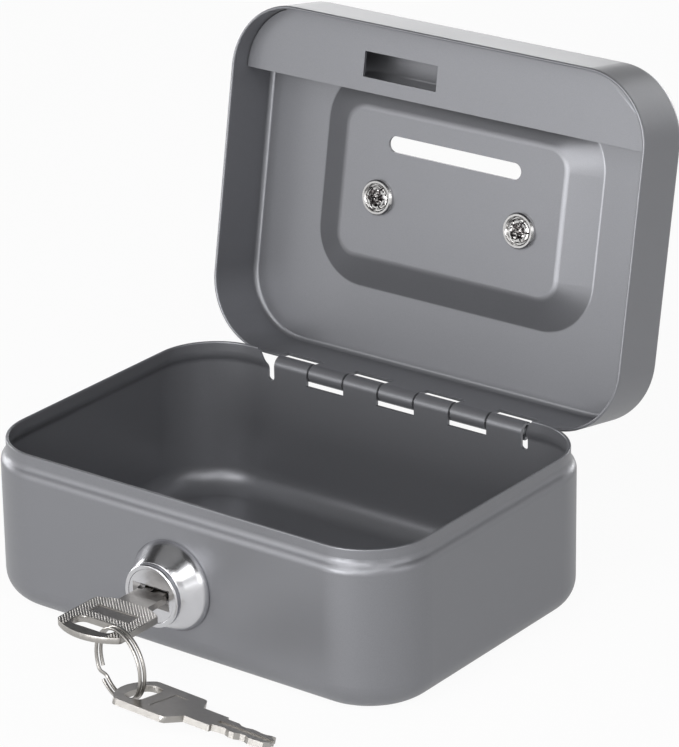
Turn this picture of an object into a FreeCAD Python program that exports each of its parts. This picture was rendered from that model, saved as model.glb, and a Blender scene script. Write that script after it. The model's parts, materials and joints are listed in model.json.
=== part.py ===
# Small steel cash box: lid open on a rolled-tab hinge, wafer lock with a hook cam, keys on a split ring.
# Millimetres, +Z up. The origin is the centre of the base, the front wall faces -Y, the hinge is at +Y.
# Lid and handle are modelled with the box shut and then swung about the hinge pin to where they rest.
import FreeCAD, Part
import math
import os

from FreeCAD import Vector

# Body and lid sheet metal
box_width = 125.0
box_depth = 90.0
sheet = 0.8
corner_radius = 18.0
base_bend = 7.2
shoulder_height = 37.3
shoulder_rise = 1.9
shoulder_round = 2.6
neck_height = 3.9
lid_clearance = 0.6
rim_gap = 0.6
lid_depth = 17.1
lid_bend = 2.0
lid_open_angle = 100.0

# Sunk pan and coin slot in the lid
pan_width = 67.0
pan_length = 38.5
pan_depth = 4.0
pan_slope = 8.5
pan_corner = 5.5
pan_centre_y = -2.0
pan_round = 2.6
pan_rim_round = 1.2
coin_slot_length = 40.4
coin_slot_width = 4.2
coin_slot_y = -13.3

# Hinge of rolled tabs on one pin
hinge_length = 76.5
knuckle_count = 7
knuckle_gap = 0.6
knuckle_room = 0.7
lid_window_room = 2.0
pin_radius = 1.5
pin_clearance = 0.06
pin_inset = 1.0
pin_below_shoulder = 0.65
curl_past_bottom = 20.0
notch_width = 2.0
notch_depth = 0.8
flare_width = 2.0
flare_drop = 1.5

# Lock strip across the front of the lid
strip_width = 17.8
strip_height = 5.3
strip_sheet = 0.8
strip_flange = 7.0
strip_lip = 3.0
strip_end_gap = 0.15
window_length = 22.4
window_width = 6.5
window_right_x = -2.8

# Handle posts, cup washers and wire handle
post_spacing = 43.4
post_y = 1.0
post_radius = 4.2
post_side_height = 4.6
post_dome = 1.2
shank_radius = 2.2
shank_clearance = 0.05
cup_radius = 4.6
cup_rim_radius = 3.4
cup_base = 0.5
cup_rim_height = 0.9
splay_radius = 3.1
splay_height = 1.0
splay_bore = 1.2
splay_slits = 6
splay_slit_width = 0.45
handle_wire_radius = 1.6
handle_clearance = 0.05
handle_pivot_height = 2.9
handle_bend = 3.4
handle_gap = 0.2

# Lock barrel, plug and clamp
lock_height = 20.0
escutcheon_radius = 11.4
escutcheon_lip = 0.7
escutcheon_projection = 6.4
ring_front_radius = 7.9
flange_thickness = 1.6
flange_round = 0.3
barrel_radius = 7.3
barrel_inside = 8.2
barrel_flat = 0.8
barrel_clearance = 0.1
plug_head_radius = 6.65
plug_head_depth = 1.2
plug_radius = 5.6
plug_clearance = 0.06
plug_recess = 0.2
tail_radius = 3.6
tail_flat = 2.7
keyway_clearance = 0.25
mouth_side = 2.0
mouth_height = 1.6
mouth_depth = 2.0
nut_across_flats = 19.0
nut_thickness = 3.0
tooth_washer_radius = 10.2
tooth_washer_thickness = 0.6
tooth_count = 12
tooth_depth = 1.0

# Wafers and their springs
wafer_count = 5
wafer_pitch = 2.5
wafer_thickness = 0.95
wafer_height = 4.6
wafer_first = 2.4
wafer_clearance = 0.05
spring_radius = 0.42
spring_length = 2.6
spring_offset_x = 1.4

# Quarter-turn stop, hook cam and its screw
plug_turn = 90.0
stop_washer_thickness = 0.8
stop_tab_angle = 24.0
stop_lug_height = 0.7
stop_clearance = 0.1
cam_thickness = 2.0
cam_hub_radius = 6.5
cam_arm_width = 8.0
cam_arm_angle = 119.0
hook_width = 4.0
hook_tip_angle = 75.0
hook_gap = 0.4
hook_floor_gap = 1.2
cam_washer_radius = 4.6
cam_washer_thickness = 0.8
screw_head_radius = 3.6
screw_head_height = 2.0
screw_radius = 1.9
screw_length = 6.0
screw_recess_width = 1.0
screw_recess_length = 4.2
screw_recess_depth = 1.1

# Keys and split ring
key_thickness = 1.6
bow_width = 19.0
bow_length = 17.0
bow_bulge = 3.2
bow_corner = 1.4
bow_shoulder = 2.3
bow_slot_length = 12.6
bow_slot_width = 4.6
bow_bar = 3.0
panel_length = 11.5
panel_width = 3.4
panel_depth = 0.15
neck_width = 8.6
neck_length = 6.9
blade_width = 6.4
blade_length = 14.4
blade_tip = 1.8
groove_width = 1.6
groove_depth = 0.35
cut_step = 0.3
cut_steps_left = (2, 0, 3, 1, 2)
cut_steps_right = (0, 3, 1, 2, 0)
key_sink = 0.5
split_ring_radius = 8.7
split_ring_wire = 0.85
split_ring_pitch = 1.29
split_ring_joggle = 10.0
split_ring_joggle_at = 214.0
ring_yaw = -15.0
ring_swing = 20.0
ring_slack = 0.12
ring_set_back = 0.65
spare_roll = -12.5
spare_yaw = 5.0
spare_slot_u = 5.5
spare_slot_v = -3.9
spare_gap = 0.5
spare_table_gap = 0.3

# Places worked out from the sizes above
front_y = -box_depth / 2
rear_y = box_depth / 2
neck_inset = sheet + lid_clearance
shoulder_slope = math.atan(neck_inset / shoulder_rise)
rim_height = shoulder_height + neck_height
lid_rim = shoulder_height + rim_gap
lid_top = lid_rim + lid_depth
pan_floor_top = lid_top - pan_depth
pan_floor_under = pan_floor_top - sheet
curl_inner = pin_radius + pin_clearance
curl_outer = curl_inner + sheet
hinge_y = rear_y + curl_inner
hinge_z = shoulder_height - pin_below_shoulder
hinge_point = Vector(0, hinge_y, hinge_z)
knuckle_pitch = (hinge_length + knuckle_gap) / knuckle_count
knuckle_length = knuckle_pitch - knuckle_gap
hinge_cut_z = hinge_z - curl_outer - knuckle_room
strip_under = lid_rim + strip_height
strip_top = strip_under + strip_sheet
strip_front_y = front_y + sheet
post_x = post_spacing / 2
handle_axis_z = pan_floor_top + handle_pivot_height
handle_axis = Vector(0, post_y, handle_axis_z)
handle_hang_angle = lid_open_angle - 90.0
handle_reach = pan_centre_y + pan_length / 2 - post_y - handle_wire_radius - handle_gap
escutcheon_front_y = front_y - escutcheon_projection
flange_front_y = escutcheon_front_y - flange_thickness
plug_front_y = flange_front_y + plug_recess
barrel_end_y = front_y + sheet + barrel_inside
plug_end_y = barrel_end_y + stop_lug_height + stop_clearance
cam_front_y = plug_end_y + stop_washer_thickness
cam_back_y = cam_front_y + cam_thickness
cam_middle_y = (cam_front_y + cam_back_y) / 2
lock_centre = Vector(0, 0, lock_height)
keyway_width = blade_width + 2 * keyway_clearance
keyway_height = key_thickness + 2 * keyway_clearance
wafer_start_y = plug_front_y + wafer_first
wafer_step_z = lock_height + wafer_height / 2 - 2 * spring_radius - 2 * wafer_clearance
hook_inner = (strip_top + hook_gap - lock_height) / math.sin(math.radians(hook_tip_angle))
hook_outer = hook_inner + hook_width
hook_drop = (lock_height - sheet - hook_floor_gap) / hook_outer
hook_tail_angle = 180 + math.degrees(math.asin(hook_drop)) - plug_turn
key_length = bow_length + bow_shoulder + neck_length + blade_length
key_outer_y = plug_front_y + key_sink - neck_length - bow_shoulder - bow_length
bow_slot_u = bow_bar + bow_slot_width / 2
side_bar = (bow_width - bow_slot_length) / 2
ring_inner = split_ring_radius - split_ring_wire / 2
ring_lift = side_bar / 2 / math.cos(math.radians(ring_yaw)) * math.sin(math.radians(ring_swing))
ring_lift += key_thickness / 2 * math.cos(math.radians(ring_swing)) + ring_slack
ring_x = (bow_width - side_bar) / 2
ring_y = key_outer_y + bow_slot_u - ring_set_back
ring_centre = Vector(ring_x, ring_y, lock_height + ring_lift - ring_inner)
ring_across = Vector(math.cos(math.radians(ring_yaw)), math.sin(math.radians(ring_yaw)), 0)
ring_normal = Vector(-math.sin(math.radians(ring_yaw)), math.cos(math.radians(ring_yaw)), 0)

overrun = 1.0
axis_x = Vector(1, 0, 0)
axis_y = Vector(0, 1, 0)
axis_z = Vector(0, 0, 1)


# Shared shapes
def box(x0, x1, y0, y1, z0, z1):
    return Part.makeBox(x1 - x0, y1 - y0, z1 - z0, Vector(x0, y0, z0))


def rounded_rectangle(width, depth, radius, z, centre_y=0.0):
    """Closed wire of four lines and four quarter arcs."""
    half_w = width / 2
    half_d = depth / 2
    bow = radius * (1 - math.sqrt(0.5))
    edges = []
    for turn in range(4):
        corner = [(1, 1), (-1, 1), (-1, -1), (1, -1)][turn]
        following = [(-1, 1), (-1, -1), (1, -1), (1, 1)][turn]
        sx, sy = corner
        along_x = turn % 2 == 0
        side = Vector(sx * half_w, centre_y + sy * (half_d - radius), z)
        end = Vector(sx * (half_w - radius), centre_y + sy * half_d, z)
        middle = Vector(sx * (half_w - bow), centre_y + sy * (half_d - bow), z)
        start = side if along_x else end
        finish = end if along_x else side
        edges.append(Part.Arc(start, middle, finish).toShape())
        nx, ny = following
        next_side = Vector(nx * half_w, centre_y + ny * (half_d - radius), z)
        next_end = Vector(nx * (half_w - radius), centre_y + ny * half_d, z)
        edges.append(Part.LineSegment(finish, next_end if along_x else next_side).toShape())
    return Part.Wire(edges)


def rounded_slab(width, depth, radius, z0, z1):
    face = Part.Face(rounded_rectangle(width, depth, radius, z0))
    return face.extrude(Vector(0, 0, z1 - z0))


def fillet_level(solid, z, radius):
    """Rounds every edge that lies in the horizontal plane at z."""
    level = [e for e in solid.Edges if abs(e.BoundBox.ZMin - z) + abs(e.BoundBox.ZMax - z) < 1e-4]
    return solid.makeFillet(radius, level)


def tube_y(outer, inner, y0, y1):
    """Ring along Y about the lock axis."""
    start = Vector(0, y0, lock_height)
    ring = Part.makeCylinder(outer, y1 - y0, start, axis_y)
    if inner <= 0:
        return ring
    return ring.cut(Part.makeCylinder(inner, y1 - y0, start, axis_y))


def sector_y(inner, outer, angle0, angle1, y0, y1):
    """Part of a ring about the lock axis, angles from +X towards +Z seen from the front."""
    def at(radius, degrees):
        turn = math.radians(degrees)
        return Vector(radius * math.cos(turn), y0, lock_height + radius * math.sin(turn))

    middle = (angle0 + angle1) / 2
    edges = [
        Part.Arc(at(outer, angle0), at(outer, middle), at(outer, angle1)).toShape(),
        Part.LineSegment(at(outer, angle1), at(inner, angle1)).toShape(),
        Part.Arc(at(inner, angle1), at(inner, middle), at(inner, angle0)).toShape(),
        Part.LineSegment(at(inner, angle0), at(outer, angle0)).toShape(),
    ]
    return Part.Face(Part.Wire(edges)).extrude(Vector(0, y1 - y0, 0))


def revolve_z(points, x, y):
    """Turns an (r, z) outline about the vertical line through x, y."""
    outline = [Vector(x + r, y, z) for r, z in points]
    face = Part.Face(Part.makePolygon(outline + outline[:1]))
    return face.revolve(Vector(x, y, 0), axis_z, 360)


def revolve_lock(points):
    """Turns an (r, y) outline about the lock axis."""
    outline = [Vector(r, y, lock_height) for r, y in points]
    face = Part.Face(Part.makePolygon(outline + outline[:1]))
    return face.revolve(lock_centre, axis_y, 360)


def opened(shape):
    """Swings a piece of the lid from shut to where it rests open."""
    swung = shape.copy()
    swung.rotate(hinge_point, axis_x, -lid_open_angle)
    return swung


def save(name, *solids):
    shape = solids[0] if len(solids) == 1 else Part.makeCompound(list(solids))
    shape.exportStep("parts/" + name + ".step")


# Hinge tabs
def knuckle_span(index):
    start = -hinge_length / 2 + index * knuckle_pitch
    return start, start + knuckle_length


def rolled_tab(index, direction, root_z):
    """Tab that runs up the wall and curls round the pin, over it with direction 1, under it with -1."""
    x0, x1 = knuckle_span(index)
    last = -direction * (90 + curl_past_bottom)

    def at(radius, degrees):
        turn = math.radians(degrees)
        return Vector(x0, hinge_y + radius * math.cos(turn), hinge_z + radius * math.sin(turn))

    middle = (180 * direction + last) / 2
    edges = [
        Part.Arc(at(curl_outer, 180), at(curl_outer, middle), at(curl_outer, last)).toShape(),
        Part.LineSegment(at(curl_outer, last), at(curl_inner, last)).toShape(),
        Part.Arc(at(curl_inner, last), at(curl_inner, middle), at(curl_inner, 180)).toShape(),
        Part.LineSegment(at(curl_inner, 180), at(curl_outer, 180)).toShape(),
    ]
    curl = Part.Face(Part.Wire(edges)).extrude(Vector(x1 - x0, 0, 0))
    low = min(root_z, hinge_z)
    high = max(root_z, hinge_z)
    wall = box(x0, x1, rear_y - sheet, rear_y, low, high)
    return wall.fuse(curl)


def hinge_notch(side):
    """Slot and flared rim that end the hinge cut-out in the body, side is +1 or -1."""
    inner = hinge_length / 2 - overrun
    slot_inner = hinge_length / 2
    slot_outer = slot_inner + notch_width
    flare_end = slot_outer + flare_width
    y0 = rear_y - neck_inset - sheet - overrun
    length = neck_inset + sheet + 2 * overrun
    slot_bottom = hinge_cut_z - notch_depth
    middle_x = (slot_inner + slot_outer) / 2
    low = shoulder_height - flare_drop
    top = rim_height + overrun

    def at(x, z):
        return Vector(side * x, y0, z)

    flare_middle = at(slot_outer + flare_width / 4, (low + rim_height) / 2)
    edges = [
        Part.LineSegment(at(inner, top), at(inner, hinge_cut_z)).toShape(),
        Part.LineSegment(at(inner, hinge_cut_z), at(slot_inner, hinge_cut_z)).toShape(),
        Part.Arc(at(slot_inner, hinge_cut_z), at(middle_x, slot_bottom), at(slot_outer, hinge_cut_z)).toShape(),
        Part.LineSegment(at(slot_outer, hinge_cut_z), at(slot_outer, low)).toShape(),
        Part.Arc(at(slot_outer, low), flare_middle, at(flare_end, rim_height)).toShape(),
        Part.LineSegment(at(flare_end, rim_height), at(flare_end, top)).toShape(),
        Part.LineSegment(at(flare_end, top), at(inner, top)).toShape(),
    ]
    return Part.Face(Part.Wire(edges)).extrude(Vector(0, length, 0))


# Body of the box
def lock_hole(clearance):
    """Round bore with two flats, through the front wall."""
    y0 = front_y - overrun
    y1 = front_y + sheet + overrun
    bore = tube_y(barrel_radius + clearance, 0, y0, y1)
    half = barrel_radius - barrel_flat + clearance
    reach = barrel_radius + overrun
    return bore.common(box(-reach, reach, y0, y1, lock_height - half, lock_height + half))


def drawn_form(inset, z0, z1, base_round, wall_round, neck_round):
    """Body as a block, inset from its outside: wall, sloped shoulder and neck with soft bends between them."""
    middle = shoulder_height - inset * math.tan(shoulder_slope / 2)
    low = middle - shoulder_rise / 2
    high = middle + shoulder_rise / 2
    width = box_width - 2 * inset
    depth = box_depth - 2 * inset
    radius = corner_radius - inset
    neck_w = width - 2 * neck_inset
    neck_d = depth - 2 * neck_inset
    neck_r = radius - neck_inset
    wall = rounded_slab(width, depth, radius, z0, low)
    foot = rounded_rectangle(width, depth, radius, low)
    head = rounded_rectangle(neck_w, neck_d, neck_r, high)
    slope = Part.makeLoft([foot, head], True, True)
    form = wall.fuse(slope).fuse(rounded_slab(neck_w, neck_d, neck_r, high, z1))
    form = fillet_level(form, z0, base_round)
    form = fillet_level(form, low, wall_round)
    return fillet_level(form, high, neck_round)


def body_shell():
    outer = drawn_form(0, 0, rim_height, base_bend, shoulder_round, shoulder_round)
    inner = drawn_form(sheet, sheet, rim_height + overrun, base_bend - sheet, shoulder_round - sheet,
                       shoulder_round + sheet)
    shell = outer.cut(inner)
    shell = shell.cut(lock_hole(barrel_clearance))
    half_hinge = hinge_length / 2
    y0 = rear_y - neck_inset - sheet - overrun
    shell = shell.cut(box(-half_hinge, half_hinge, y0, rear_y + overrun, hinge_cut_z, rim_height + overrun))
    for side in (-1, 1):
        shell = shell.cut(hinge_notch(side))
    for index in range(0, knuckle_count, 2):
        shell = shell.fuse(rolled_tab(index, 1, hinge_cut_z - sheet))
    return shell.removeSplitter()


def hinge_pin():
    length = hinge_length - 2 * pin_inset
    start = Vector(-length / 2, hinge_y, hinge_z)
    pin = Part.makeCylinder(pin_radius, length, start, axis_x)
    ends = [e for e in pin.Edges if isinstance(e.Curve, Part.Circle)]
    return pin.makeChamfer(pin_radius / 6, ends)


# Lid, modelled shut
def pan_form(drop, grow_top):
    """Sunk pan as a solid: sloped sides from the lid's top to the pan's floor, drop lowers it."""
    floor_z = lid_top - pan_depth - drop
    top_z = lid_top - drop
    reach = pan_slope * (pan_depth + grow_top) / pan_depth
    floor = rounded_rectangle(pan_width, pan_length, pan_corner, floor_z, pan_centre_y)
    rim_w = pan_width + 2 * reach
    rim_l = pan_length + 2 * reach
    rim = rounded_rectangle(rim_w, rim_l, pan_corner + reach, top_z + grow_top, pan_centre_y)
    form = Part.makeLoft([floor, rim], True, True)
    return fillet_level(form, floor_z, pan_round + drop)


def round_pan_rim(solid, z, radius):
    """Softens the edge where the level top turns down into the pan."""
    reach_x = pan_width / 2 + pan_slope + overrun
    reach_y = pan_length / 2 + pan_slope + overrun
    rim = []
    for e in solid.Edges:
        level = abs(e.BoundBox.ZMin - z) + abs(e.BoundBox.ZMax - z) < 1e-4
        near_x = e.BoundBox.XMax < reach_x and e.BoundBox.XMin > -reach_x
        near_y = abs(e.BoundBox.Center.y - pan_centre_y) < reach_y
        if level and near_x and near_y:
            rim.append(e)
    return solid.makeFillet(radius, rim)


def coin_slot():
    bottom = pan_floor_under - overrun
    end_round = coin_slot_width / 2 - 1e-3
    outline = rounded_rectangle(coin_slot_length, coin_slot_width, end_round, bottom, coin_slot_y)
    return Part.Face(outline).extrude(Vector(0, 0, sheet + 2 * overrun))


def lid_shell():
    outer = rounded_slab(box_width, box_depth, corner_radius, lid_rim, lid_top)
    outer = fillet_level(outer, lid_top, lid_bend)
    outer = round_pan_rim(outer.cut(pan_form(0, overrun)), lid_top, pan_rim_round + sheet)
    inner_w = box_width - 2 * sheet
    inner_d = box_depth - 2 * sheet
    ceiling = lid_top - sheet
    inner = rounded_slab(inner_w, inner_d, corner_radius - sheet, lid_rim - overrun, ceiling)
    inner = fillet_level(inner, ceiling, lid_bend - sheet)
    inner = round_pan_rim(inner.cut(pan_form(sheet, overrun)), ceiling, pan_rim_round)
    shell = outer.cut(inner).cut(coin_slot())
    for side in (-1, 1):
        start = Vector(side * post_x, post_y, pan_floor_under - overrun)
        shell = shell.cut(Part.makeCylinder(shank_radius + shank_clearance, sheet + 2 * overrun, start))
    clear_z = hinge_z + curl_outer + lid_window_room
    for index in range(0, knuckle_count, 2):
        x0, x1 = knuckle_span(index)
        room = box(x0 - knuckle_gap, x1 + knuckle_gap, rear_y - sheet - overrun, rear_y + overrun,
                   lid_rim - overrun, clear_z)
        shell = shell.cut(room)
    for index in range(1, knuckle_count, 2):
        shell = shell.fuse(rolled_tab(index, -1, lid_rim + sheet))
    return shell.removeSplitter()


def strike_strip():
    inset = sheet + strip_end_gap
    width = box_width - 2 * inset
    depth = box_depth - 2 * inset
    plate = rounded_slab(width, depth, corner_radius - inset, strip_under, strip_top)
    rear = strip_front_y + strip_width
    plate = plate.common(box(-width, width, front_y, rear, strip_under - overrun, strip_top + overrun))
    straight = box_width / 2 - corner_radius
    flange_top = strip_under + strip_flange
    flange = box(-straight, straight, strip_front_y, strip_front_y + strip_sheet, strip_under, flange_top)
    lip_end = width / 2 - strip_lip
    lip = box(-lip_end, lip_end, rear - strip_sheet, rear, strip_under, strip_top + strip_lip)
    strip = plate.fuse(flange).fuse(lip)
    y0 = cam_middle_y - window_width / 2
    y1 = cam_middle_y + window_width / 2
    x0 = window_right_x - window_length
    strip = strip.cut(box(x0, window_right_x, y0, y1, strip_under - overrun, strip_top + overrun))
    return strip.removeSplitter()


# Handle, its posts and washers
def handle_post(side):
    """Domed post with a cross hole, riveted through the pan: its splayed end shows inside the lid."""
    x = side * post_x
    seat = pan_floor_under - cup_base
    end = seat - splay_height
    dome_top = pan_floor_top + post_side_height + post_dome
    outline = [
        (0, end), (splay_radius - 0.5 * splay_height, end), (splay_radius, seat - 0.35 * splay_height),
        (shank_radius, seat), (shank_radius, pan_floor_top), (post_radius, pan_floor_top),
        (post_radius, pan_floor_top + post_side_height), (post_radius * 0.75, dome_top - post_dome * 0.4),
        (post_radius * 0.4, dome_top - post_dome * 0.08), (0, dome_top),
    ]
    post = revolve_z(outline, x, post_y)
    bore = Part.makeCylinder(splay_bore, splay_height + cup_base, Vector(x, post_y, end))
    post = post.cut(bore)
    for slit in range(splay_slits):
        cut = box(x, x + splay_radius + overrun, post_y - splay_slit_width / 2, post_y + splay_slit_width / 2,
                  end - overrun, seat - 0.2 * splay_height)
        cut.rotate(Vector(x, post_y, 0), axis_z, slit * 360 / splay_slits)
        post = post.cut(cut)
    hole_start = Vector(x - post_radius - overrun, post_y, handle_axis_z)
    hole_length = 2 * (post_radius + overrun)
    return post.cut(Part.makeCylinder(handle_wire_radius + handle_clearance, hole_length, hole_start, axis_x))


def cup_washer(side):
    top = pan_floor_under
    base = top - cup_base
    rim = base - cup_rim_height
    bore = shank_radius + shank_clearance
    width = cup_radius - cup_rim_radius
    outline = [
        (bore, top), (cup_radius, top), (cup_radius, rim + 0.4 * width), (cup_radius - 0.3 * width, rim),
        (cup_rim_radius + 0.3 * width, rim), (cup_rim_radius, rim + 0.4 * width), (cup_rim_radius, base),
        (bore, base),
    ]
    return revolve_z(outline, side * post_x, post_y)


def carry_handle():
    """Wire bail lying flat towards the hinge, then lifted to the angle at which it hangs with the lid open."""
    leg_x = post_x + post_radius + handle_bend + handle_gap
    stub_x = post_x - post_radius + overrun
    z = handle_axis_z
    near = post_y
    far = post_y + handle_reach
    bend = handle_bend
    small = bend * (1 - math.sqrt(0.5))

    def at(x, y):
        return Vector(x, y, z)

    edges = [
        Part.LineSegment(at(-stub_x, near), at(-leg_x + bend, near)).toShape(),
        Part.Arc(at(-leg_x + bend, near), at(-leg_x + small, near + small), at(-leg_x, near + bend)).toShape(),
        Part.LineSegment(at(-leg_x, near + bend), at(-leg_x, far - bend)).toShape(),
        Part.Arc(at(-leg_x, far - bend), at(-leg_x + small, far - small), at(-leg_x + bend, far)).toShape(),
        Part.LineSegment(at(-leg_x + bend, far), at(leg_x - bend, far)).toShape(),
        Part.Arc(at(leg_x - bend, far), at(leg_x - small, far - small), at(leg_x, far - bend)).toShape(),
        Part.LineSegment(at(leg_x, far - bend), at(leg_x, near + bend)).toShape(),
        Part.Arc(at(leg_x, near + bend), at(leg_x - small, near + small), at(leg_x - bend, near)).toShape(),
        Part.LineSegment(at(leg_x - bend, near), at(stub_x, near)).toShape(),
    ]
    section = Part.Wire(Part.makeCircle(handle_wire_radius, at(-stub_x, near), axis_x))
    bail = Part.Wire(edges).makePipeShell([section], True, False)
    bail.rotate(handle_axis, axis_x, handle_hang_angle)
    return bail


# Lock
def lock_escutcheon():
    back = front_y
    front = escutcheon_front_y
    bore = barrel_radius + barrel_clearance
    outline = [
        (bore, back), (escutcheon_radius, back), (escutcheon_radius, back - escutcheon_lip),
        (ring_front_radius, front), (bore, front),
    ]
    return revolve_lock(outline)


def lock_barrel():
    head = plug_head_radius + plug_clearance
    bore = plug_radius + plug_clearance
    front = flange_front_y
    shoulder = plug_front_y + plug_head_depth + plug_clearance
    outline = [
        (head, front), (ring_front_radius - flange_round, front), (ring_front_radius, front + flange_round),
        (ring_front_radius, escutcheon_front_y), (barrel_radius, escutcheon_front_y),
        (barrel_radius, barrel_end_y), (bore, barrel_end_y), (bore, shoulder), (head, shoulder),
    ]
    barrel = revolve_lock(outline)
    half = barrel_radius - barrel_flat
    reach = 2 * barrel_radius
    for side in (-1, 1):
        z0 = lock_height + side * half
        z1 = lock_height + side * reach
        low = min(z0, z1)
        high = max(z0, z1)
        barrel = barrel.cut(box(-reach, reach, escutcheon_front_y, barrel_end_y + overrun, low, high))
    lug_start = 90 + stop_tab_angle / 2
    lug = sector_y(bore, barrel_radius, lug_start + plug_turn, lug_start + 360 - stop_tab_angle,
                   barrel_end_y - stop_lug_height, barrel_end_y + stop_lug_height)
    lug = lug.common(box(-reach, reach, front_y, 0, lock_height - half, lock_height + half))
    return barrel.fuse(lug).removeSplitter()


def wafer_y(index):
    return wafer_start_y + index * wafer_pitch


def wafer_block(index, clearance, spring_end):
    """Space of one wafer in the plug: a flat plate whose upper right corner is shortened for its spring."""
    y0 = wafer_y(index) - clearance
    y1 = wafer_y(index) + wafer_thickness + clearance
    half = wafer_height / 2 + clearance
    step = wafer_step_z + clearance
    reach = plug_radius + overrun
    low = box(-reach, reach, y0, y1, lock_height - half, step)
    return low.fuse(box(-reach, spring_end, y0, y1, step, lock_height + half))


def keyway():
    slot = box(-keyway_width / 2, keyway_width / 2, plug_front_y - overrun,
               plug_front_y + key_sink + blade_length + keyway_clearance,
               lock_height - keyway_height / 2, lock_height + keyway_height / 2)
    mouth_w = keyway_width / 2 + mouth_side
    mouth_h = keyway_height / 2 + mouth_height
    mouth = [Vector(x, plug_front_y, lock_height + z) for x, z in
             ((-mouth_w, -mouth_h), (mouth_w, -mouth_h), (mouth_w, mouth_h), (-mouth_w, mouth_h))]
    inner = [Vector(x, plug_front_y + mouth_depth, lock_height + z) for x, z in
             ((-keyway_width / 2, -keyway_height / 2), (keyway_width / 2, -keyway_height / 2),
              (keyway_width / 2, keyway_height / 2), (-keyway_width / 2, keyway_height / 2))]
    funnel = Part.makeLoft([Part.makePolygon(p + p[:1]) for p in (mouth, inner)], True, True)
    return slot.fuse(funnel)


def tail_section(clearance, y0, y1):
    """Round tail with two flats, which carries the stop washer and the cam."""
    half = tail_flat + clearance
    reach = tail_radius + overrun
    round_tail = tube_y(tail_radius + clearance, 0, y0, y1)
    return round_tail.common(box(-reach, reach, y0, y1, lock_height - half, lock_height + half))


def lock_plug():
    outline = [
        (0, plug_front_y), (plug_head_radius, plug_front_y), (plug_head_radius, plug_front_y + plug_head_depth),
        (plug_radius, plug_front_y + plug_head_depth), (plug_radius, plug_end_y), (0, plug_end_y),
    ]
    plug = revolve_lock(outline)
    plug = plug.fuse(tail_section(0, plug_end_y - overrun, cam_back_y))
    plug = plug.cut(keyway())
    for index in range(wafer_count):
        plug = plug.cut(wafer_block(index, wafer_clearance, spring_offset_x + spring_length))
    hole = tube_y(screw_radius + shank_clearance, 0, cam_back_y - screw_length, cam_back_y)
    return plug.cut(hole).removeSplitter()


def lock_wafer(index):
    plate = wafer_block(index, 0, spring_offset_x)
    plate = plate.common(tube_y(plug_radius - wafer_clearance, 0, plug_front_y, plug_end_y))
    window = box(-keyway_width / 2, keyway_width / 2, plug_front_y, plug_end_y,
                 lock_height - keyway_height / 2, lock_height + keyway_height / 2)
    return plate.cut(window).removeSplitter()


def wafer_spring(index):
    z = lock_height + wafer_height / 2 - spring_radius
    start = Vector(spring_offset_x, wafer_y(index) + wafer_thickness / 2, z)
    return Part.makeCylinder(spring_radius, spring_length, start, axis_x)


def hex_nut():
    y0 = front_y + sheet + tooth_washer_thickness
    radius = nut_across_flats / math.sqrt(3)
    corners = []
    for side in range(7):
        turn = math.radians(60 * side)
        corners.append(Vector(radius * math.cos(turn), y0, lock_height + radius * math.sin(turn)))
    nut = Part.Face(Part.makePolygon(corners)).extrude(Vector(0, nut_thickness, 0))
    return nut.cut(tube_y(barrel_radius + shank_clearance, 0, y0 - overrun, y0 + nut_thickness + overrun))


def tooth_washer():
    y0 = front_y + sheet
    y1 = y0 + tooth_washer_thickness
    washer = tube_y(tooth_washer_radius, barrel_radius + shank_clearance, y0, y1)
    step = 360 / tooth_count
    for tooth in range(tooth_count):
        gap = sector_y(tooth_washer_radius - tooth_depth, tooth_washer_radius + overrun, tooth * step,
                       tooth * step + step / 2, y0 - overrun, y1 + overrun)
        washer = washer.cut(gap)
    return washer


def stop_washer():
    y0 = plug_end_y
    y1 = y0 + stop_washer_thickness
    disc = tube_y(plug_radius, 0, y0, y1)
    inner = plug_radius - overrun
    clear = stop_clearance / barrel_radius
    tab_half = stop_tab_angle / 2 - math.degrees(clear)
    rest_angle = 90 + plug_turn
    first = rest_angle - tab_half
    last = rest_angle + tab_half
    tab = sector_y(inner, barrel_radius, first, last, y0, y1)
    bent = sector_y(plug_radius + stop_clearance, barrel_radius, first, last, barrel_end_y + stop_clearance, y1)
    washer = disc.fuse(tab).fuse(bent)
    return washer.cut(tail_section(shank_clearance, y0 - overrun, y1 + overrun)).removeSplitter()


def lock_cam():
    """Flat hook, drawn in the locked place and turned back to where the unlocked plug holds it."""
    y0 = cam_front_y
    y1 = cam_back_y
    hub = tube_y(cam_hub_radius, 0, y0, y1)
    hook = sector_y(hook_inner, hook_outer, hook_tip_angle, hook_tail_angle, y0, y1)
    turn = math.radians(hook_tip_angle)
    middle = (hook_inner + hook_outer) / 2
    tip = Vector(middle * math.cos(turn), y0, lock_height + middle * math.sin(turn))
    nose = Part.makeCylinder(hook_width / 2, cam_thickness, tip, axis_y)
    arm = box(0, hook_outer, y0, y1, lock_height - cam_arm_width / 2, lock_height + cam_arm_width / 2)
    arm.rotate(lock_centre, axis_y, -cam_arm_angle)
    arm = arm.common(tube_y(hook_outer, 0, y0, y1))
    cam = hub.fuse(hook).fuse(nose).fuse(arm)
    cam.rotate(lock_centre, axis_y, -plug_turn)
    return cam.cut(tail_section(shank_clearance, y0 - overrun, y1 + overrun)).removeSplitter()


def cam_washer():
    end_y = cam_back_y + cam_washer_thickness
    return tube_y(cam_washer_radius, screw_radius + shank_clearance, cam_back_y, end_y)


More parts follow.
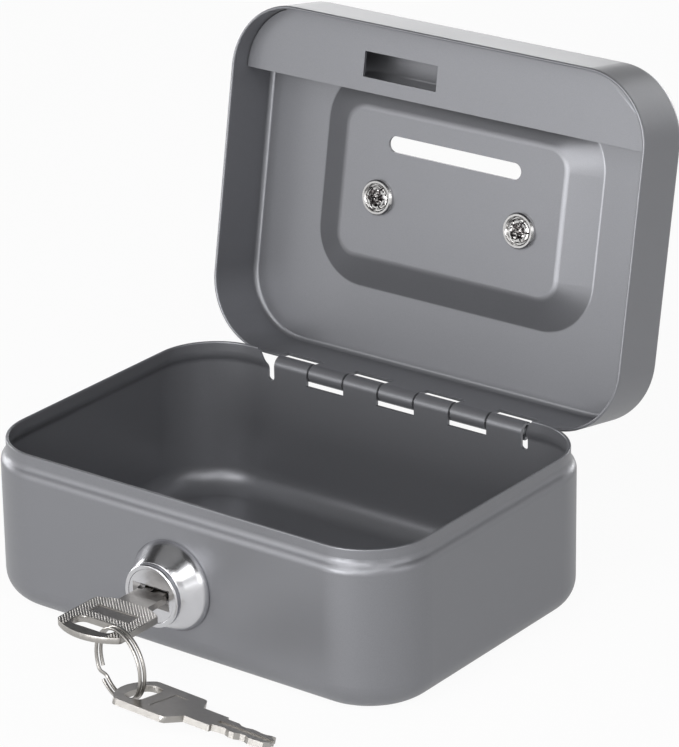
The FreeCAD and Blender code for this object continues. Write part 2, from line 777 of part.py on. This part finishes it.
def cam_screw():
    head_y = cam_back_y + cam_washer_thickness
    end_y = head_y + screw_head_height
    head = tube_y(screw_head_radius, 0, head_y, end_y)
    rim = []
    for e in head.Edges:
        if isinstance(e.Curve, Part.Circle) and abs(e.BoundBox.YMin - end_y) < 1e-4:
            rim.append(e)
    head = head.makeFillet(screw_head_height / 2, rim)
    half_w = screw_recess_width / 2
    half_l = screw_recess_length / 2
    bottom = end_y - screw_recess_depth
    for w, h in ((half_w, half_l), (half_l, half_w)):
        head = head.cut(box(-w, w, bottom, end_y + overrun, lock_height - h, lock_height + h))
    shank_start = cam_back_y - screw_length + overrun
    return head.fuse(tube_y(screw_radius, 0, shank_start, head_y)).removeSplitter()


# Keys: drawn flat with u from the bow's end to the tip, v across and the ribbed face up
def blade_edge(steps, side):
    """Cut edge of the blade from the neck to the tip, side is +1 or -1."""
    start = bow_length + bow_shoulder + neck_length
    half = blade_width / 2
    points = [(start, side * half)]
    for index, depth in enumerate(steps):
        middle = start + wafer_first + index * wafer_pitch + wafer_thickness / 2
        cut = half - depth * cut_step
        quarter = wafer_pitch / 4
        points.append((middle - quarter, side * cut))
        points.append((middle + quarter, side * cut))
    points.append((key_length - blade_tip, side * half * 0.8))
    points.append((key_length, side * half * 0.3))
    return points


def flat_key():
    half_bow = bow_width / 2
    half_neck = neck_width / 2
    neck_start = bow_length + bow_shoulder
    neck_end = neck_start + neck_length
    upper = [(bow_bulge, half_bow), (bow_length, half_bow), (neck_start, half_neck), (neck_end, half_neck)]
    upper += blade_edge(cut_steps_left, 1)
    lower = [(bow_bulge, -half_bow), (bow_length, -half_bow), (neck_start, -half_neck), (neck_end, -half_neck)]
    lower += blade_edge(cut_steps_right, -1)
    w0 = -key_thickness / 2
    path = [Vector(u, v, w0) for u, v in upper + lower[::-1]]
    edges = [Part.LineSegment(a, b).toShape() for a, b in zip(path, path[1:]) if a.distanceToPoint(b) > 1e-6]
    edges.append(Part.Arc(path[-1], Vector(0, 0, w0), path[0]).toShape())
    key = Part.Face(Part.Wire(edges)).extrude(Vector(0, 0, key_thickness))
    corners = []
    for e in key.Edges:
        upright = e.BoundBox.ZLength > key_thickness / 2
        if upright and abs(abs(e.BoundBox.Center.y) - half_bow) < 1e-4:
            corners.append(e)
    key = key.makeFillet(bow_corner, corners)
    slot = Part.Face(rounded_rectangle(bow_slot_width, bow_slot_length, bow_slot_width / 2 - 1e-3, 0))
    slot.translate(Vector(bow_slot_u, 0, -key_thickness))
    key = key.cut(slot.extrude(Vector(0, 0, 2 * key_thickness)))
    panel_u = (bow_bar + bow_slot_width + bow_length) / 2
    for face in (-key_thickness / 2, key_thickness / 2):
        panel = box(panel_u - panel_width / 2, panel_u + panel_width / 2, -panel_length / 2, panel_length / 2,
                    face - panel_depth, face + panel_depth)
        groove = box(neck_end, key_length + overrun, -groove_width / 2, groove_width / 2,
                     face - groove_depth, face + groove_depth)
        key = key.cut(panel).cut(groove)
    return key


def lock_key():
    """Key in the plug, bow level: u runs towards +Y and v towards -X."""
    key = flat_key()
    key.rotate(Vector(0, 0, 0), axis_z, 90)
    key.translate(Vector(0, key_outer_y, lock_height))
    return key


def spare_key():
    """Key that lies on the table with its bow lifted on the split ring, its reverse side up."""
    half = key_thickness / 2
    seat_z = ring_centre.z - ring_inner + half + spare_gap
    reach = math.sqrt(split_ring_radius ** 2 - (ring_centre.z - seat_z) ** 2)
    seat = Vector(ring_centre.x, ring_centre.y, seat_z) + ring_across * reach
    lean = math.sin(math.radians(spare_roll))
    fall = seat_z - half - spare_table_gap
    tip_drop = (fall + (blade_width / 2 - spare_slot_v) * lean) / (key_length - spare_slot_u)
    corner_drop = (fall + (bow_width / 2 - spare_slot_v) * lean) / (bow_length - spare_slot_u)
    pitch = math.degrees(math.asin(min(tip_drop, corner_drop)))
    key = flat_key()
    key.rotate(Vector(0, 0, 0), axis_x, 180)
    key.translate(Vector(-spare_slot_u, -spare_slot_v, 0))
    key.rotate(Vector(0, 0, 0), axis_x, spare_roll)
    key.rotate(Vector(0, 0, 0), axis_y, pitch)
    key.rotate(Vector(0, 0, 0), axis_z, spare_yaw)
    key.translate(seat)
    return key


# Split ring: two flat turns joined by a joggle, one unbroken wire
def arc_from_tangent(start, corner, end):
    """Circular arc from start to end that is tangent to both legs of an even corner."""
    middle = (start + end) * 0.5
    angle = (corner - start).getAngle(end - start)
    rise = math.tan(angle / 2) / math.tan(angle)
    return Part.Arc(start, middle + (corner - middle) * rise, end).toShape()


def biarc(start, start_way, end, end_way):
    """Two arcs with a common tangent, from start along start_way to end along end_way."""
    chord = end - start
    ways = start_way + end_way
    spread = 2 * (1 - start_way.dot(end_way))
    along = chord.dot(ways)
    reach = (math.sqrt(along ** 2 + spread * chord.dot(chord)) - along) / spread
    first = start + start_way * reach
    second = end - end_way * reach
    joint = (first + second) * 0.5
    return [arc_from_tangent(start, first, joint), arc_from_tangent(joint, second, end)]


def ring_point(degrees, level):
    turn = math.radians(degrees)
    radial = ring_across * math.cos(turn) + axis_z * math.sin(turn)
    return ring_centre + radial * split_ring_radius + ring_normal * level


def ring_way(degrees):
    turn = math.radians(degrees)
    return ring_across * -math.sin(turn) + axis_z * math.cos(turn)


def split_ring():
    level = split_ring_pitch / 2
    turn_start = split_ring_joggle_at + split_ring_joggle
    turn_end = split_ring_joggle_at + 360 - split_ring_joggle
    half_turn = (turn_end - turn_start) / 2
    edges = []
    for height, offset in ((-level, 0), (level, 360)):
        for part in range(2):
            first = turn_start + offset + part * half_turn
            ends = [ring_point(first + share * half_turn, height) for share in (0, 0.5, 1)]
            edges.append(Part.Arc(*ends).toShape())
        if height < 0:
            edges += biarc(ring_point(turn_end, -level), ring_way(turn_end),
                           ring_point(turn_start, level), ring_way(turn_start))
    path = Part.Wire(edges)
    start = ring_point(turn_start, -level)
    section = Part.Wire(Part.makeCircle(split_ring_wire / 2, start, ring_way(turn_start)))
    print("split ring: least gap between its turns", round(ring_gap(path), 3), "mm")
    return path.makePipeShell([section], True, False)


def ring_gap(path):
    """Least gap between stretches of the wire that are over half a turn apart along it."""
    points = path.discretize(Number=240)
    apart = int(240 * math.pi * split_ring_radius / path.Length)
    least = min(points[a].distanceToPoint(points[b]) for a in range(240) for b in range(a + apart, 240))
    return least - split_ring_wire


# Export
os.makedirs("parts", exist_ok=True)
save("body_shell", body_shell())
save("hinge_pin", hinge_pin())
save("lid_shell", opened(lid_shell()))
save("strike_strip", opened(strike_strip()))
save("handle_post_left", opened(handle_post(-1)))
save("handle_post_right", opened(handle_post(1)))
save("cup_washers", *[opened(cup_washer(side)) for side in (-1, 1)])
save("carry_handle", opened(carry_handle()))
save("lock_escutcheon", lock_escutcheon())
save("lock_barrel", lock_barrel())
save("lock_nut", hex_nut())
save("tooth_washer", tooth_washer())
save("lock_plug", lock_plug())
save("lock_wafers", *[lock_wafer(index) for index in range(wafer_count)])
save("wafer_springs", *[wafer_spring(index) for index in range(wafer_count)])
save("stop_washer", stop_washer())
save("lock_cam", lock_cam())
save("cam_washer", cam_washer())
save("cam_screw", cam_screw())
save("lock_key", lock_key())
save("split_ring", split_ring())
save("spare_key", spare_key())
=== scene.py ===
# Looks of the small steel cash box: satin grey enamel, chrome lock, nickel keys, on a plain pale floor.
import json
import math

import bpy
import numpy as np
from mathutils import Matrix, Vector
from mathutils import noise as pattern


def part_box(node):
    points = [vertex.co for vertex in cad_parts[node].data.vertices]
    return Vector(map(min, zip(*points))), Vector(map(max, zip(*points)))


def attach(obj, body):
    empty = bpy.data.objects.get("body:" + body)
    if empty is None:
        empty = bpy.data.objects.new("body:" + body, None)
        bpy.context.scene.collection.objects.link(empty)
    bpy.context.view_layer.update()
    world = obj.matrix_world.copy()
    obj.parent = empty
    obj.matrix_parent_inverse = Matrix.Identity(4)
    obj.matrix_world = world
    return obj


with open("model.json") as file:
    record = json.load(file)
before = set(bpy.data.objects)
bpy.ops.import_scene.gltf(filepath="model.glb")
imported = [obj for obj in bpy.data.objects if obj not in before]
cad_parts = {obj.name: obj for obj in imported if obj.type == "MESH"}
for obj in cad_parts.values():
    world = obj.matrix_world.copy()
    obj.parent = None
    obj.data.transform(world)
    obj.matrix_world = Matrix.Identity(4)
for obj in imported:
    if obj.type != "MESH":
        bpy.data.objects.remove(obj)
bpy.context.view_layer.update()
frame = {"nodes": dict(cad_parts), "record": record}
nodes = frame["nodes"]
mm = 0.001


# Shader building blocks
def new_material(name):
    material = bpy.data.materials.new(name)
    material.use_nodes = True
    material.node_tree.nodes.clear()
    return material, material.node_tree


def add(tree, kind, **values):
    """New node with its settings."""
    node = tree.nodes.new(kind)
    for key, value in values.items():
        setattr(node, key, value)
    return node


def fill(node, **sockets):
    """Sets input sockets by name, with _ for a space."""
    for key, value in sockets.items():
        node.inputs[key.replace("_", " ")].default_value = value
    return node


def join(tree, source, target):
    tree.links.new(source, target)


def maths(tree, operation, first, second=None):
    """Math node on two values, each a socket or a number."""
    node = add(tree, "ShaderNodeMath", operation=operation)
    for socket, value in zip(node.inputs, (first, second)):
        if value is None:
            continue
        if isinstance(value, (int, float)):
            socket.default_value = value
        else:
            join(tree, value, socket)
    return node.outputs[0]


def noise(tree, position, scale, detail=2.0):
    node = fill(add(tree, "ShaderNodeTexNoise"), Scale=scale, Detail=detail)
    join(tree, position, node.inputs["Vector"])
    return node.outputs["Fac"]


def spread(tree, source, low, high):
    """Maps a value of 0 to 1 onto low to high."""
    node = add(tree, "ShaderNodeMapRange")
    node.inputs["To Min"].default_value = low
    node.inputs["To Max"].default_value = high
    join(tree, source, node.inputs["Value"])
    return node.outputs[0]


def tint(tree, source, dark, light):
    node = add(tree, "ShaderNodeMix", data_type="RGBA")
    node.inputs[6].default_value = (*dark, 1)
    node.inputs[7].default_value = (*light, 1)
    join(tree, source, node.inputs[0])
    return node.outputs[2]


def bump(tree, height, distance, strength):
    node = fill(add(tree, "ShaderNodeBump"), Distance=distance, Strength=strength)
    join(tree, height, node.inputs["Height"])
    return node.outputs["Normal"]


def surface(tree, metallic, **sockets):
    shader = fill(add(tree, "ShaderNodeBsdfPrincipled"), Metallic=metallic, **sockets)
    output = add(tree, "ShaderNodeOutputMaterial")
    join(tree, shader.outputs["BSDF"], output.inputs["Surface"])
    return shader


def place(tree):
    return add(tree, "ShaderNodeTexCoord").outputs["Object"]


# Materials
def grey_enamel():
    """Satin metallic enamel with a fine flake and a faint orange peel."""
    dark_grey = (0.185, 0.188, 0.202)
    light_grey = (0.235, 0.238, 0.254)
    material, tree = new_material("grey_enamel")
    position = place(tree)
    shader = surface(tree, metallic=0.6, Coat_Weight=0.1, Coat_Roughness=0.25)
    flake = noise(tree, position, scale=6000, detail=1.0)
    drift = noise(tree, position, scale=25)
    peel = noise(tree, position, scale=900)
    join(tree, tint(tree, flake, dark_grey, light_grey), shader.inputs["Base Color"])
    join(tree, spread(tree, drift, low=0.36, high=0.42), shader.inputs["Roughness"])
    join(tree, bump(tree, peel, distance=0.02 * mm, strength=0.12), shader.inputs["Normal"])
    return material


def plated(name, dark, light, smooth, rough, grain):
    """Bare or plated metal with faint wear in its colour and roughness."""
    material, tree = new_material(name)
    position = place(tree)
    shader = surface(tree, metallic=1.0)
    wear = noise(tree, position, scale=grain, detail=4.0)
    fine = noise(tree, position, scale=grain * 4)
    join(tree, tint(tree, wear, dark, light), shader.inputs["Base Color"])
    join(tree, spread(tree, wear, low=smooth, high=rough), shader.inputs["Roughness"])
    join(tree, bump(tree, fine, distance=0.01 * mm, strength=0.15), shader.inputs["Normal"])
    return material


def hammered(name):
    """Beaten metal: its bump and roughness follow a noise, and its colour turns near-black in the
    noise's hollows, a painted shade for its folds; elsewhere it is bright bare metal.
    """
    # painted shade: this near-black grey stands for the shade in the folds, not for the metal's own
    # colour
    painted_fold_shade = (0.04, 0.036, 0.036)
    bare_metal_grey = (0.80, 0.78, 0.77)
    material, tree = new_material(name)
    position = place(tree)
    shader = surface(tree, metallic=1.0)
    folds_and_shade = noise(tree, position, scale=1000, detail=3.0)
    # painted shade mask: the low half of the noise, the bump's hollows, takes the near-black grey
    painted_shade_mask = fill(add(tree, "ShaderNodeMapRange"), From_Min=0.50, From_Max=0.70)
    join(tree, folds_and_shade, painted_shade_mask.inputs["Value"])
    colour = tint(tree, painted_shade_mask.outputs[0], painted_fold_shade, bare_metal_grey)
    join(tree, colour, shader.inputs["Base Color"])
    join(tree, spread(tree, folds_and_shade, low=0.30, high=0.10), shader.inputs["Roughness"])
    join(tree, bump(tree, folds_and_shade, distance=0.2 * mm, strength=0.5), shader.inputs["Normal"])
    return material


enamel = grey_enamel()
# the splayed post caps use this metal, with painted shade in its hollows
beaten = hammered("beaten_plate")
chrome = plated(
    "chrome_plate", dark=(0.60, 0.60, 0.62), light=(0.68, 0.68, 0.70),
    smooth=0.19, rough=0.26, grain=400)
bright = plated(
    "bright_plate", dark=(0.58, 0.575, 0.57), light=(0.70, 0.695, 0.69),
    smooth=0.16, rough=0.24, grain=600)
nickel = plated(
    "nickel_plate", dark=(0.37, 0.355, 0.338), light=(0.47, 0.455, 0.432),
    smooth=0.28, rough=0.38, grain=700)
# Painted highlight: a lighter copy of the key nickel, given to the bow's ribs so that they read as lit
# lines.
nickel_painted_highlight = plated(
    "nickel_painted_highlight", dark=(0.54, 0.52, 0.495), light=(0.64, 0.62, 0.59),
    smooth=0.30, rough=0.40, grain=700)
zinc = plated(
    "zinc_plate", dark=(0.52, 0.53, 0.54), light=(0.64, 0.65, 0.66),
    smooth=0.26, rough=0.38, grain=500)
brass = plated(
    "plain_brass", dark=(0.62, 0.47, 0.22), light=(0.74, 0.58, 0.30),
    smooth=0.25, rough=0.35, grain=500)
spring_wire = plated(
    "spring_wire", dark=(0.38, 0.38, 0.39), light=(0.48, 0.48, 0.49),
    smooth=0.28, rough=0.38, grain=800)

finish_of_slot = {
    "grey_paint": enamel,
    "chrome_plate": chrome,
    "nickel_plate": nickel,
    "zinc_plate": zinc,
    "plain_brass": brass,
    "spring_steel": spring_wire,
}

finish_of_node = {
    "cup_washers": bright,
    "handle_post_left": bright,
    "handle_post_right": bright,
}


# CAD nodes: finish and softened edges, in millimetres and degrees
weld_reach = 0.002
sharp_angle = 40
edge_rounds = {
    "strike_strip": 0.15,
    "lock_escutcheon": 0.15,
    "lock_barrel": 0.12,
    "lock_plug": 0.1,
    "lock_key": 0.15,
    "spare_key": 0.15,
    "lock_cam": 0.15,
    "lock_nut": 0.2,
}


def soften(node, width):
    """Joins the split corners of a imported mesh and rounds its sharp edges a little."""
    weld = node.modifiers.new("weld", "WELD")
    weld.merge_threshold = weld_reach * mm
    bevel = node.modifiers.new("edges", "BEVEL")
    bevel.width = width * mm
    bevel.segments = 2
    bevel.limit_method = "ANGLE"
    bevel.angle_limit = math.radians(sharp_angle)
    bevel.harden_normals = True


for part in frame["record"]["subparts"]:
    node = nodes[part["node"]]
    finish = finish_of_node.get(part["node"], finish_of_slot[part["material_slot"]])
    node.data.materials.clear()
    node.data.materials.append(finish)
    if part["node"] in edge_rounds:
        soften(node, edge_rounds[part["node"]])


def add_piece(name, points, faces, material, body):
    """Piece of the scene's own, given in the row frame, that moves with a CAD body."""
    mesh = bpy.data.meshes.new(name)
    mesh.from_pydata([tuple(point) for point in points], [], faces)
    mesh.materials.append(material)
    piece = bpy.data.objects.new(name, mesh)
    bpy.context.scene.collection.objects.link(piece)
    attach(piece, body)


# Diagonal ribs on one face of each key's bow, in millimetres: u from the bow's end to the tip, v across
key_low, key_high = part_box("lock_key")
key_thickness = (key_high.z - key_low.z) / mm
bow_half = 9.5
bow_length = 17.0
bow_bulge = 3.2
neck_half = 4.3
neck_start = 19.3
slot_u = 5.3
slot_half_width = 2.3
slot_half_length = 6.3
panel_u = 12.3
panel_half_width = 1.7
panel_half_length = 5.75
rib_pitch = 0.64
rib_width = 0.28
rib_height = 0.07
rib_margin = 0.35
rib_step = 0.05
rib_top_share = 0.5


def has_ribs(u, v):
    """True on the bow's face, clear of its outline, panel and slot, and of the bar outside the slot."""
    bulge = bow_bulge * (v / bow_half) ** 2
    taper = max(0, u - bow_length) * (bow_half - neck_half) / (neck_start - bow_length)
    in_length = bulge + rib_margin < u < neck_start - rib_margin
    in_width = abs(v) < bow_half - taper - rib_margin
    past_slot_end = max(abs(v) - slot_half_length + slot_half_width, 0)
    in_slot = math.hypot(u - slot_u, past_slot_end) < slot_half_width + rib_margin
    in_bar = u < slot_u and abs(v) < slot_half_length
    beside_panel = abs(u - panel_u) < panel_half_width + rib_margin
    in_panel = beside_panel and abs(v) < panel_half_length + rib_margin
    return in_length and in_width and not in_slot and not in_bar and not in_panel


def rib_spans():
    """Start and end, on the bow's face, of every stretch of rib."""
    along = Vector((1, 1)).normalized()
    across = Vector((1, -1)).normalized()
    rows = int(2 * bow_length / rib_pitch)
    steps = int(3 * bow_length / rib_step)
    spans = []
    for row in range(-rows, rows):
        start = None
        for step in range(-steps, steps):
            point = across * row * rib_pitch + along * step * rib_step
            if has_ribs(point.x, point.y):
                start = start or point
                last = point
            elif start:
                spans.append((start, last))
                start = None
    return spans


def key_ribs(name, to_frame, body):
    """Ribs with sloped sides, on the face of the key that is up in its own frame."""
    side = Vector((1, -1)).normalized() * rib_width / 2
    face_w = key_thickness / 2
    points = []
    faces = []
    for start, end in rib_spans():
        first = len(points)
        for w, share in ((face_w, 1.0), (face_w + rib_height, rib_top_share)):
            for tip, way in ((start, -1), (end, -1), (end, 1), (start, 1)):
                spot = tip + side * way * share
                points.append(to_frame @ (Vector((spot.x, spot.y, w)) * mm))
        faces.append([first + 4, first + 5, first + 6, first + 7])
        for corner in range(4):
            following = (corner + 1) % 4
            low_edge = [first + corner, first + following]
            high_edge = [first + 4 + following, first + 4 + corner]
            faces.append(low_edge + high_edge)
    # the ribs take the lighter nickel, a painted highlight
    add_piece(name, points, faces, nickel_painted_highlight, body)


def carried(source, target):
    """Rigid move that takes one node's points onto those of another node of the same shape."""
    from_points = np.array([vertex.co for vertex in source.data.vertices])
    to_points = np.array([vertex.co for vertex in target.data.vertices])
    from_middle = from_points.mean(0)
    to_middle = to_points.mean(0)
    left, _, right = np.linalg.svd((from_points - from_middle).T @ (to_points - to_middle))
    turn = right.T @ left.T
    move = Matrix(turn.tolist()).to_4x4()
    move.translation = Vector(to_middle - turn @ from_middle)
    return move


bow_end = Vector((0, key_low.y, (key_low.z + key_high.z) / 2))
key_place = Matrix.Translation(bow_end) @ Matrix.Rotation(math.pi / 2, 4, "Z")
key_ribs("key_ribs", key_place, "key")
spare_place = carried(nodes["lock_key"], nodes["spare_key"]) @ key_place
key_ribs("spare_key_ribs", spare_place, "spare")


# Lid and body rims: the sheet's painted edge is round, drawn shut and in millimetres
box_width = 125.0
box_depth = 90.0
corner_radius = 18.0
sheet = 0.8
lid_rim = 37.9
body_rim = 41.2
neck_inset = 1.4
lid_gap_half = 39.25
body_gap_half = 42.3
arc_steps = 16
lid_turn = math.radians(-100)
hinge_place = Vector(frame["record"]["behaviour"]["joints"][0]["pos_m"])
lid_to_hinge = Matrix.Rotation(lid_turn, 4, "X") @ Matrix.Translation(-hinge_place)
lid_to_frame = Matrix.Translation(hinge_place) @ lid_to_hinge


def rim_path(inset, gap_half):
    """Points round a rim, clockwise from above, that is open over the hinge."""
    radius = corner_radius - inset
    side_x = box_width / 2 - corner_radius
    side_y = box_depth / 2 - corner_radius
    corners = [(side_x, side_y), (side_x, -side_y), (-side_x, -side_y), (-side_x, side_y)]
    path = [(gap_half, side_y + radius)]
    for turn, (x, y) in enumerate(corners):
        for step in range(arc_steps + 1):
            angle = math.pi / 2 * (1 - turn - step / arc_steps)
            path.append((x + radius * math.cos(angle), y + radius * math.sin(angle)))
    path.append((-gap_half, side_y + radius))
    return path


def rim_edge(name, path, height, to_frame, body):
    """Round bar as thick as the sheet, along a rim."""
    curve = bpy.data.curves.new(name, "CURVE")
    curve.dimensions = "3D"
    curve.bevel_depth = sheet / 2 * mm
    curve.bevel_resolution = 3
    curve.use_fill_caps = True
    spline = curve.splines.new("POLY")
    spline.points.add(len(path) - 1)
    for point, (x, y) in zip(spline.points, path):
        point.co = (*(to_frame @ (Vector((x, y, height)) * mm)), 1)
    curve.materials.append(enamel)
    edge = bpy.data.objects.new(name, curve)
    bpy.context.scene.collection.objects.link(edge)
    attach(edge, body)


lid_path = rim_path(sheet / 2, lid_gap_half)
rim_edge("lid_rim_edge", lid_path, lid_rim, lid_to_frame, "lid")
body_path = rim_path(neck_inset + sheet / 2, body_gap_half)
rim_edge("body_rim_edge", body_path, body_rim, Matrix.Identity(4), "box")


# Handle posts: their splayed ends are hammered into the cup washers
post_x = 21.7
post_y = 1.0
splay_end = 48.7
splay_radius = 3.1
splay_rings = 8
splay_sectors = 24
cap_lift = 0.08
crumple_height = 0.6
crumple_grain = 1.1
crumple_octaves = 2
edge_fall = 0.9
edge_steepness = 4


def crumpled_end(name, x):
    """Uneven cap over the splayed end of one post, whose heights come from a folded noise."""
    middle = Vector((x, post_y, splay_end))
    points = [lid_to_frame @ (middle * mm)]
    faces = []
    for ring in range(1, splay_rings + 1):
        share = ring / splay_rings
        for sector in range(splay_sectors):
            angle = math.tau * (sector + ring / 2) / splay_sectors
            spot = Vector((math.cos(angle), math.sin(angle), 0)) * splay_radius * share
            fold = pattern.turbulence(spot * crumple_grain + middle, crumple_octaves, True)
            spot.z = edge_fall * share ** edge_steepness - cap_lift - crumple_height * fold
            points.append(lid_to_frame @ ((middle + spot) * mm))
            here = 1 + (ring - 1) * splay_sectors + sector
            beside = 1 + (ring - 1) * splay_sectors + (sector + 1) % splay_sectors
            if ring == 1:
                faces.append([0, beside, here])
            else:
                inside = here - splay_sectors
                inside_beside = beside - splay_sectors
                faces.append([inside, inside_beside, here])
                faces.append([inside_beside, beside, here])
    add_piece(name, points, faces, beaten, "lid")


for side, x in (("left", -post_x), ("right", post_x)):
    crumpled_end("splayed_end_" + side, x)


# Floor, light and camera, in metres
lamp_aim = Vector((0, 0, 0.05))
lamp_distance = 1.3
lamp_width = 0.6
lamp_height = 0.5
overhead_width = 1.2
overhead_height = 1.0
backdrop_edge = 0.2
backdrop_top = 0.45
room_strength = 0.04
floor_size = 12
floor_white_seen = 0.94
floor_white_mirrored = 0.5


def pale_floor():
    """Matt pale floor that keeps the shadow, whitened where the camera or a reflection sees it."""
    dark_white = (0.86, 0.86, 0.86)
    light_white = (0.88, 0.88, 0.88)
    material, tree = new_material("pale_floor")
    position = place(tree)
    lit = fill(add(tree, "ShaderNodeBsdfPrincipled"), Roughness=0.9)
    grain = noise(tree, position, scale=3.0)
    join(tree, tint(tree, grain, dark_white, light_white), lit.inputs["Base Color"])
    glow = fill(add(tree, "ShaderNodeEmission"), Strength=1.0)
    rays = add(tree, "ShaderNodeLightPath")
    mirrored = maths(tree, "MAXIMUM", rays.outputs["Is Glossy Ray"], rays.outputs["Is Transmission Ray"])
    mirrored = maths(tree, "MULTIPLY", mirrored, floor_white_mirrored)
    direct = maths(tree, "MULTIPLY", rays.outputs["Is Camera Ray"], floor_white_seen)
    share = maths(tree, "MAXIMUM", direct, mirrored)
    blend = add(tree, "ShaderNodeMixShader")
    join(tree, share, blend.inputs[0])
    join(tree, lit.outputs[0], blend.inputs[1])
    join(tree, glow.outputs[0], blend.inputs[2])
    output = add(tree, "ShaderNodeOutputMaterial")
    join(tree, blend.outputs[0], output.inputs["Surface"])
    bpy.ops.mesh.primitive_plane_add(size=floor_size)
    floor = bpy.context.object
    floor.name = "floor"
    floor.data.materials.append(material)


def studio_world():
    """White backdrop: all round for the camera, and up to the backdrop's edge in what reflects it."""
    world = bpy.data.worlds.new("studio")
    bpy.context.scene.world = world
    world.use_nodes = True
    tree = world.node_tree
    tree.nodes.clear()
    rays = add(tree, "ShaderNodeLightPath")
    height = add(tree, "ShaderNodeSeparateXYZ")
    join(tree, add(tree, "ShaderNodeTexCoord").outputs["Generated"], height.inputs[0])
    backdrop = fill(add(tree, "ShaderNodeMapRange"), From_Min=backdrop_top, From_Max=backdrop_edge)
    join(tree, height.outputs["Z"], backdrop.inputs["Value"])
    mirrored = maths(tree, "MAXIMUM", rays.outputs["Is Glossy Ray"], rays.outputs["Is Transmission Ray"])
    mirrored = maths(tree, "MULTIPLY", mirrored, backdrop.outputs[0])
    seen = maths(tree, "MAXIMUM", rays.outputs["Is Camera Ray"], mirrored)
    room = fill(add(tree, "ShaderNodeBackground"), Color=(1, 1, 1, 1), Strength=room_strength)
    white = fill(add(tree, "ShaderNodeBackground"), Color=(1, 1, 1, 1), Strength=1.0)
    blend = add(tree, "ShaderNodeMixShader")
    join(tree, seen, blend.inputs[0])
    join(tree, room.outputs[0], blend.inputs[1])
    join(tree, white.outputs[0], blend.inputs[2])
    output = add(tree, "ShaderNodeOutputWorld")
    join(tree, blend.outputs[0], output.inputs["Surface"])


def soft_light(name, azimuth, elevation, power, width=lamp_width, height=lamp_height):
    """Panel that faces the box; azimuth 0 is in front of the lock and 90 to the right, in degrees."""
    lamp = bpy.data.lights.new(name, "AREA")
    lamp.shape = "RECTANGLE"
    lamp.size = width
    lamp.size_y = height
    lamp.energy = power
    side = math.radians(azimuth)
    rise = math.radians(elevation)
    away = Vector((math.sin(side) * math.cos(rise), -math.cos(side) * math.cos(rise), math.sin(rise)))
    holder = bpy.data.objects.new(name, lamp)
    holder.location = lamp_aim + away * lamp_distance
    holder.rotation_euler = away.to_track_quat("Z", "Y").to_euler()
    bpy.context.scene.collection.objects.link(holder)


def photo_camera():
    """Camera fitted to the photograph's edges."""
    azimuth = math.radians(37.21)
    elevation = math.radians(22.171)
    roll = math.radians(-0.913)
    distance = 669.838 * mm
    target = Vector((168.827, -200.863, 165.17)) * mm
    focal_pixels = 3969.7
    photo_height = 747
    sensor_size = 36
    back = Vector((
        math.sin(azimuth) * math.cos(elevation),
        -math.cos(azimuth) * math.cos(elevation),
        math.sin(elevation),
    ))
    right = Vector((math.cos(azimuth), math.sin(azimuth), 0))
    up = back.cross(right)
    turned_right = right * math.cos(roll) + up * math.sin(roll)
    turned_up = up * math.cos(roll) - right * math.sin(roll)
    data = bpy.data.cameras.new("camera")
    data.sensor_width = sensor_size
    data.lens = sensor_size * focal_pixels / photo_height
    data.clip_start = 0.01
    camera = bpy.data.objects.new("camera", data)
    turn = Matrix((turned_right, turned_up, back)).transposed()
    camera.matrix_world = Matrix.Translation(target + back * distance) @ turn.to_4x4()
    bpy.context.scene.collection.objects.link(camera)
    bpy.context.scene.camera = camera


pale_floor()
studio_world()
soft_light("front_low_light", azimuth=-5, elevation=3, power=9.5)
soft_light("front_high_light", azimuth=0, elevation=40, power=5.0)
soft_light("front_left_light", azimuth=-30, elevation=20, power=1.6)
soft_light("front_right_light", azimuth=24, elevation=20, power=3.8)
soft_light("right_high_light", azimuth=54, elevation=40, power=3.4)
soft_light("right_light", azimuth=84, elevation=20, power=2.0)
soft_light("left_light", azimuth=-90, elevation=4, power=6.0)
soft_light(
    "overhead_light", azimuth=-60, elevation=72, power=0.8,
    width=overhead_width, height=overhead_height)
soft_light("rear_light", azimuth=180, elevation=3, power=5.0)
soft_light("rear_high_light", azimuth=165, elevation=35, power=1.3)
soft_light("rear_left_light", azimuth=-140, elevation=3, power=1.9)
photo_camera()
bpy.context.scene.view_settings.view_transform = "Standard"
